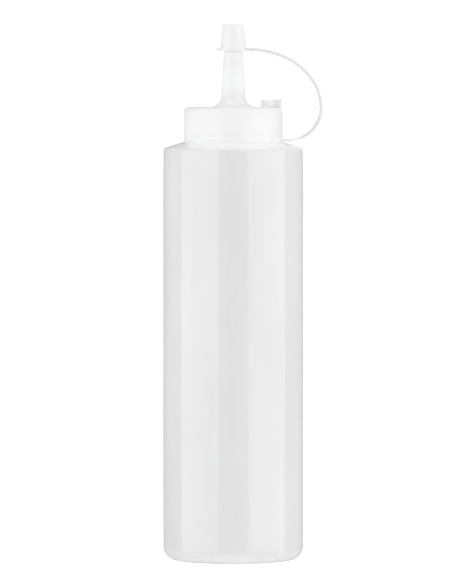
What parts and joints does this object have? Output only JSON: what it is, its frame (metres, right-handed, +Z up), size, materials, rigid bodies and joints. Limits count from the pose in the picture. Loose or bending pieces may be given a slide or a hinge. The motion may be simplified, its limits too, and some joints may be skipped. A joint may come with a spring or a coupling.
{
  "type": "condiment squeeze bottle",
  "caption": "Tall translucent squeeze bottle with a screw-on tapered nozzle closure, a parking post on its top and a tip cap held by a curved strap.",
  "frame": {"origin": "centre of the ring the bottle stands on", "axes": "+Z up along the bottle's axis, +X towards the bow of the tether strap"},
  "size_m": [0.0795, 0.07, 0.267],
  "materials": {
    "bottle": "translucent natural low-density polyethylene, satin",
    "closure": "milky natural low-density polyethylene, satin",
    "tether": "milky natural low-density polyethylene, satin"
  },
  "bodies": {
    "bottle": {"bottle": "bottle"},
    "tether_ring": {"tether_ring": "tether", "tether_strap": "tether"},
    "closure": {"nozzle_closure": "closure"},
    "tip_cap": {"tip_cap": "tether"}
  },
  "joints": [
    {"name": "closure_lift", "type": "slide", "parent": "bottle", "child": "tether_ring", "axis": [0, 0, 1], "range_m": [0, 0.0159]},
    {"name": "closure_turn", "type": "hinge", "parent": "tether_ring", "child": "closure", "pos_m": [0, 0, 0.2167], "axis": [0, 0, 1], "range_deg": [0, 1350]},
    {"name": "tip_cap_pull", "type": "slide", "parent": "tether_ring", "child": "tip_cap", "axis": [0, 0, 1], "range_m": [0, 0.016], "deforming": ["tether_strap"]}
  ],
  "couplings": [
    {"joint": "closure_lift", "follows": "closure_turn", "m_per_rad": 0.00067376}
  ]
}
